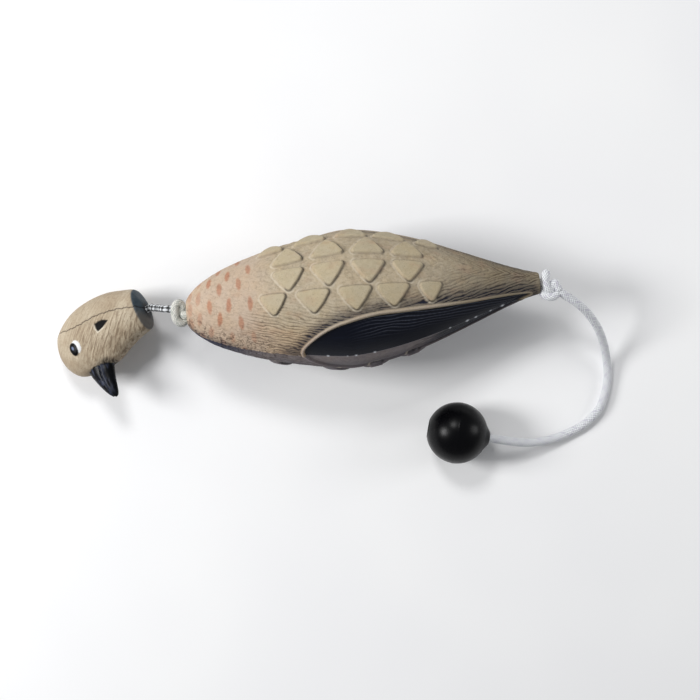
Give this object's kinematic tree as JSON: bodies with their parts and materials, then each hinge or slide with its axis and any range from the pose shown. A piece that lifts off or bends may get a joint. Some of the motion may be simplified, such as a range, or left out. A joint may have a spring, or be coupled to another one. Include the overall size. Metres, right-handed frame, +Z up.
{
  "type": "dove retrieving dummy",
  "caption": "Dove-shaped foam retrieving dummy with raised scale pads, a free-swinging hard head on a short cord, and a throw cord that ends in a ball.",
  "frame": {"origin": "on the ground plane that the dummy lies on, under the fattest section of its body", "axes": "+X along the body from nose to tail, +Y towards the side that the back leans to, +Z up; the body lies rolled 36 degrees about X, with its left wing up"},
  "size_m": [0.3429, 0.149, 0.0857],
  "materials": {
    "foam_back": "matte",
    "foam_belly": "matte",
    "liner": "matte",
    "white_cord": "matte",
    "flecked_cord": "matte",
    "head_plastic": "matte",
    "ball_plastic": "satin"
  },
  "bodies": {
    "body": {"back_shell": "foam_back", "belly_shell": "foam_belly", "core_tube": "liner", "body_cord": "white_cord", "tail_knot": "white_cord", "tail_cord": "white_cord", "ball_knot": "white_cord"},
    "nose_knot": {"neck_knot": "white_cord"},
    "neck": {"neck_cord": "flecked_cord"},
    "head_anchor": {"head_knot": "flecked_cord"},
    "head": {"head_front": "head_plastic", "head_back": "head_plastic"},
    "ball": {"throw_ball": "ball_plastic"}
  },
  "joints": [
    {"name": "knot_twist", "type": "hinge", "parent": "body", "child": "nose_knot", "pos_m": [-0.097, 0, 0.043], "axis": [1, 0, 0], "range_deg": [-60, 60]},
    {"name": "neck_swing", "type": "hinge", "parent": "nose_knot", "child": "neck", "pos_m": [-0.1092, 0.0036, 0.0398], "axis": [0, 1, 0], "range_deg": [-38, 80]},
    {"name": "head_nod", "type": "hinge", "parent": "neck", "child": "head_anchor", "pos_m": [-0.11983, 0.00568, 0.02665], "axis": [0.3321, -0.9432, 0], "range_deg": [-50, 50]},
    {"name": "head_spin", "type": "hinge", "parent": "head_anchor", "child": "head", "pos_m": [-0.11983, 0.00568, 0.02665], "axis": [0.9111, 0.3208, 0.2588], "continuous": true},
    {"name": "ball_spin", "type": "hinge", "parent": "body", "child": "ball", "pos_m": [0.0615, -0.0876, 0.0191], "axis": [0.9686, -0.2487, 0], "continuous": true}
  ]
}
